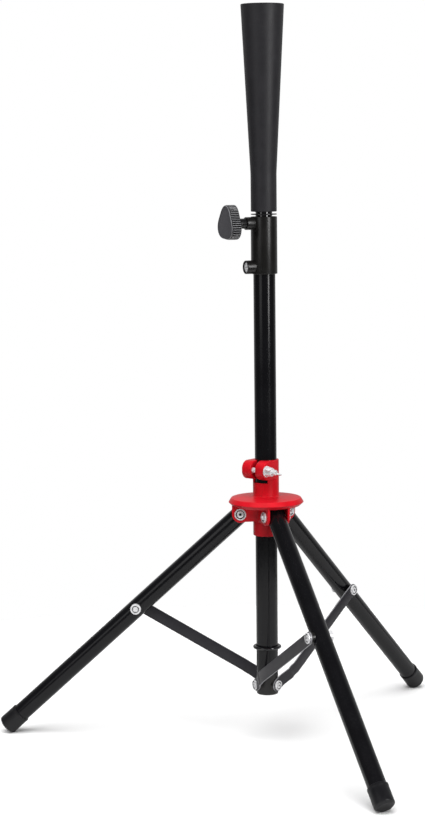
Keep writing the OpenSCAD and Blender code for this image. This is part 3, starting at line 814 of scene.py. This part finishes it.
def cup_and_nut(leg, far, cutter):
    """Cup washer with a raised rim, saddled on the leg, and the nut sunk in it; the groove round
    the nut gets painted shade.
    """
    cup = lathe("cup", rounded([
        (0, 0, 0), (CUP_R, 0, 0.2 * MM), (CUP_R, CUP_HEIGHT, 0.7 * MM),
        (0.68 * CUP_R, CUP_HEIGHT, 0.4 * MM), (0.64 * CUP_R, 1.2 * MM, 0.1 * MM),
        (0.56 * CUP_R, 1.2 * MM, 0.1 * MM), (0.52 * CUP_R, 2.4 * MM, 0.3 * MM),
        (0, 2.4 * MM, 0)], steps=4), far @ Matrix.Translation((0, 0, LEG_R + 0.1 * MM)), 64)
    skirt = lathe("skirt", disc_profile(CUP_R, 8 * MM, LEG_R + 0.5 * MM, 0.1 * MM), far, 64)
    nut = dress(merge("brace_nut_" + leg, [cup, combine("skirt", skirt, [cutter], "DIFFERENCE")]),
                "bright_steel", "leg_" + leg, "strut_nut_" + leg)
    nut.data.materials.append(MATERIAL["dull_steel"])
    inverse = far.inverted()
    # the groove between the cup's rim and the nut is painted darker as shade
    for face in nut.data.polygons:
        spot = inverse @ face.center
        groove = 0.5 * CUP_R < math.hypot(spot.x, spot.y) < 0.67 * CUP_R
        if groove and LEG_R + MM < spot.z < LEG_R + 2.4 * MM:
            face.material_index = 1


def build_brace_joint(leg):
    """Bolt through leg and strut, the spacer between them, and the nut in its cup."""
    place, body = leg_frame(leg), "leg_" + leg
    brace = (Vector(JOINT["strut_fold_" + leg]["pos_m"]) - place.translation).length
    bolt = place @ Matrix.Translation((0, 0, -brace))
    near = bolt @ Matrix.Rotation(math.pi / 2, 4, "X")
    far = bolt @ Matrix.Rotation(-math.pi / 2, 4, "X")
    head_z = STRUT_IN + STRUT_THICK + 0.1 * MM
    head = bolt_head("head", HEAD_R, HEAD_HEIGHT, near @ Matrix.Translation((0, 0, head_z)))
    rod = shank("rod", BOLT_R, -LEG_R - 3 * MM, head_z + 0.2 * MM, near)
    dress(merge("brace_bolt_" + leg, [head, rod]), "bright_steel", body, "strut_bolt_" + leg)
    # the leg's own round, cut out of the spacer and the cup
    low, high = -brace - 20 * MM, 20 * MM - brace
    face = STRUT_IN - 0.1 * MM
    saddle = lathe("saddle", rounded([
        (BOLT_R, SPACER_ROOT, 0), (SPACER_R, SPACER_ROOT, 0), (SPACER_R, face, 0.5 * MM),
        (BOLT_R, face, 0)]), near, 64)
    spacer = combine("brace_spacer_" + leg, saddle, [shank("cut", LEG_R, low, high, place)],
                     "DIFFERENCE")
    dress(spacer, "black_plastic", body, "strut_spacer_" + leg)
    cup_and_nut(leg, far, shank("cut", LEG_R, low, high, place))


def strut_bow(along, length):
    """How far a strut stands out from its flat, at a distance from its lower screw."""
    bends = [(9 * MM, 0), (26 * MM, STRUT_BOW), (length - 12 * MM, 0)]
    # the mean over a short stretch rounds off the bends
    spots = [along + shift * MM for shift in (-3, -1.5, 0, 1.5, 3)]
    total = 0
    for spot in spots:
        for (low, bow_low), (high, bow_high) in zip(bends, bends[1:]):
            if low < spot < high:
                total += bow_low + (bow_high - bow_low) * (spot - low) / (high - low)
    return total / len(spots)


def bent_bar(name, half, thick, length, matrix):
    """Flat bar with round ends: +Y up the bar from its lower screw, +Z out from the leg."""
    # where its cross sections stand: close together round the ends and at the bends
    steps = [-half * math.cos(math.pi / 2 * i / 10) for i in range(1, 10)]
    steps += [half * 0.1] + [stop * MM for stop in (8, 12, 15, 20, 23, 26, 29, 33)]
    steps += [length * part for part in (0.3, 0.4, 0.5, 0.6, 0.7, 0.8)]
    steps += [length - 16 * MM, length - 12 * MM, length - 8 * MM]
    steps += [length + half * math.sin(math.pi / 2 * i / 10) for i in range(10)]
    bm = bmesh.new()
    rows = []
    for along in steps:
        past = max(-along, along - length, 0)
        wide = math.sqrt(half * half - past * past)
        edge = min(0.45 * MM, wide / 3)
        out = strut_bow(along, length)
        section = rounded([(-wide, 0, edge), (wide, 0, edge),
                           (wide, thick, edge), (-wide, thick, edge)], steps=3)
        places = (Vector((point.x, along, point.y + out)) for point in section)
        rows.append([bm.verts.new(matrix @ place) for place in places])
    skin(bm, rows)
    bar = new_object(name, bm, 40)
    bar.data.materials.append(MATERIAL["strut_paint"])
    bar.data.materials.append(MATERIAL["sheared_edge"])
    side = matrix.to_3x3().inverted()
    for face in bar.data.polygons:
        face.material_index = 1 if abs((side @ face.normal).z) < 0.5 else 0
    return bar


def build_strut(leg):
    """A bent flat strut and the screw at its lower end."""
    place, length = strut_frame(leg)
    body = "strut_" + leg
    # plate frame: +Z out from the leg's plane, +Y up the strut, origin at the lower screw
    flat = place @ Matrix.Rotation(math.pi / 2, 4, "X")
    low = flat @ Matrix.Translation((0, -length, STRUT_IN))
    bar = bent_bar("brace_" + leg, STRUT_HALF, STRUT_THICK, length, low)
    dress(bar, "strut_paint", body, "strut_" + leg)
    face = flat @ Matrix.Translation((0, -length, STRUT_IN + STRUT_THICK))
    screw = merge("brace_screw_" + leg, [
        bolt_head("head", STRUT_HEAD_R, HEAD_HEIGHT, face),
        shank("rod", 2 * MM, -STRUT_THICK, 0.5 * MM, face)])
    dress(screw, "bright_steel", body, "strut_screw_" + leg)


# ---------------------------------------------------------------- stage
FLOOR_R = 0.75
PAPER, PAPER_BOUNCE = 0.93, 0.5


def build_floor():
    """A round sheet of white paper."""
    bm = bmesh.new()
    bmesh.ops.create_circle(bm, cap_ends=True, segments=128, radius=FLOOR_R)
    floor = new_object("floor", bm)
    material, shader = new_material("floor_paper", (PAPER,) * 3, 1.0, specular=0.1)
    nodes, links = material.node_tree.nodes, material.node_tree.links
    # the paper as seen, and a darker one for the light that it sends back up at the tee
    seen = nodes.new("ShaderNodeLightPath")
    shade = nodes.new("ShaderNodeMapRange")
    shade.inputs["To Min"].default_value = PAPER_BOUNCE
    shade.inputs["To Max"].default_value = PAPER
    links.new(seen.outputs["Is Camera Ray"], shade.inputs["Value"])
    links.new(shade.outputs["Result"], shader.inputs["Base Color"])
    floor.data.materials.append(material)


def build_surround():
    """A white surround that is bright behind the tee and dark on the camera's side."""
    world = bpy.data.worlds.new("studio")
    bpy.context.scene.world = world
    world.use_nodes = True
    nodes, links = world.node_tree.nodes, world.node_tree.links
    surround = nodes["Background"]
    surround.inputs["Color"].default_value = (1, 1, 1, 1)
    direction = nodes.new("ShaderNodeTexCoord")
    behind = nodes.new("ShaderNodeVectorMath")
    behind.operation = "DOT_PRODUCT"
    behind.inputs[1].default_value = -facing(CAMERA_AZIMUTH, 0)
    fade = nodes.new("ShaderNodeMapRange")
    fade.interpolation_type = "SMOOTHSTEP"
    fade.inputs["From Min"].default_value = 0.1
    fade.inputs["From Max"].default_value = 0.9
    fade.inputs["To Min"].default_value = 0.08
    fade.inputs["To Max"].default_value = 0.5
    links.new(direction.outputs["Generated"], behind.inputs[0])
    links.new(behind.outputs["Value"], fade.inputs["Value"])
    links.new(fade.outputs["Result"], surround.inputs["Strength"])
    backdrop = nodes.new("ShaderNodeBackground")
    backdrop.inputs["Color"].default_value = (1, 1, 1, 1)
    backdrop.inputs["Strength"].default_value = 1.0
    seen = nodes.new("ShaderNodeLightPath")
    mix = nodes.new("ShaderNodeMixShader")
    links.new(seen.outputs["Is Camera Ray"], mix.inputs["Fac"])
    links.new(surround.outputs["Background"], mix.inputs[1])
    links.new(backdrop.outputs["Background"], mix.inputs[2])
    links.new(mix.outputs["Shader"], nodes["World Output"].inputs["Surface"])
    bpy.context.scene.view_settings.view_transform = "Standard"


def facing(azimuth, elevation):
    """Unit vector towards that azimuth and elevation, counted as for the camera."""
    az, el = math.radians(azimuth), math.radians(elevation)
    return Vector((math.sin(az) * math.cos(el), -math.cos(az) * math.cos(el), math.sin(el)))


OVERHEAD_AZIMUTH, OVERHEAD_ELEVATION = -40, 66
LIGHT_DISTANCE = 2.6


def area_light(name, azimuth, width, low, high, power, mirrored=True):
    """An upright soft light between two heights, which reflections may leave out."""
    data = bpy.data.lights.new(name, "AREA")
    data.shape = "RECTANGLE"
    data.size, data.size_y = width, high - low
    data.energy = power
    lamp = bpy.data.objects.new(name, data)
    direction = facing(azimuth, 0)
    lamp.location = direction * LIGHT_DISTANCE + Vector((0, 0, (low + high) / 2))
    lamp.rotation_euler = direction.to_track_quat("Z", "Y").to_euler()
    lamp.visible_glossy = mirrored
    bpy.context.scene.collection.objects.link(lamp)


def build_lights():
    """An even overhead light, tall soft lights right and left, and a low fill in front."""
    data = bpy.data.lights.new("overhead", "SUN")
    data.energy = 3.65
    data.angle = math.radians(60)
    lamp = bpy.data.objects.new("overhead", data)
    direction = facing(OVERHEAD_AZIMUTH, OVERHEAD_ELEVATION)
    lamp.rotation_euler = direction.to_track_quat("Z", "Y").to_euler()
    lamp.visible_glossy = False
    bpy.context.scene.collection.objects.link(lamp)
    area_light("right", 22.5, 0.5, 0.49, 2.2, 24)
    area_light("left", -64, 1.2, 0.45, 2.2, 6)
    area_light("front", 5, 0.8, 0.1, 0.7, 18, mirrored=False)


CAMERA_AZIMUTH = -22.718
CAMERA_DISTANCE = 2.48887
CAMERA_HEIGHT = 0.6898
CAMERA_YAW, CAMERA_PITCH, CAMERA_ROLL = -1.394, -6.864, -0.618
FOCAL_IN_FRAME_HEIGHTS = 2.680012
SENSOR_HEIGHT = 36


def build_camera():
    """A long-lens view from the tee's left front, level with the lower part of the cone."""
    yaw, pitch, roll = (math.radians(v) for v in (CAMERA_YAW, CAMERA_PITCH, CAMERA_ROLL))
    heading = yaw - math.radians(CAMERA_AZIMUTH)
    ahead = Vector((math.sin(heading), math.cos(heading), 0))
    forward = ahead * math.cos(pitch) + Vector((0, 0, math.sin(pitch)))
    level = Vector((math.cos(heading), -math.sin(heading), 0))
    upright = level.cross(forward)
    right = level * math.cos(roll) + upright * math.sin(roll)
    up = upright * math.cos(roll) - level * math.sin(roll)
    data = bpy.data.cameras.new("camera")
    data.sensor_fit = "VERTICAL"
    data.sensor_height = SENSOR_HEIGHT
    data.lens = data.sensor_height * FOCAL_IN_FRAME_HEIGHTS
    camera = bpy.data.objects.new("camera", data)
    rotation = Matrix((right, up, -forward)).transposed().to_4x4()
    eye = facing(CAMERA_AZIMUTH, 0) * CAMERA_DISTANCE + Vector((0, 0, CAMERA_HEIGHT))
    camera.matrix_world = Matrix.Translation(eye) @ rotation
    bpy.context.scene.collection.objects.link(camera)
    bpy.context.scene.camera = camera


build_camera()
build_column()
build_collar()
build_knob()
build_pole()
build_hub()
build_pivots()
build_wing_nut()
for name in LEGS:
    build_leg(name)
    build_foot(name)
    build_brace_joint(name)
    build_strut(name)
build_floor()
build_surround()
build_lights()
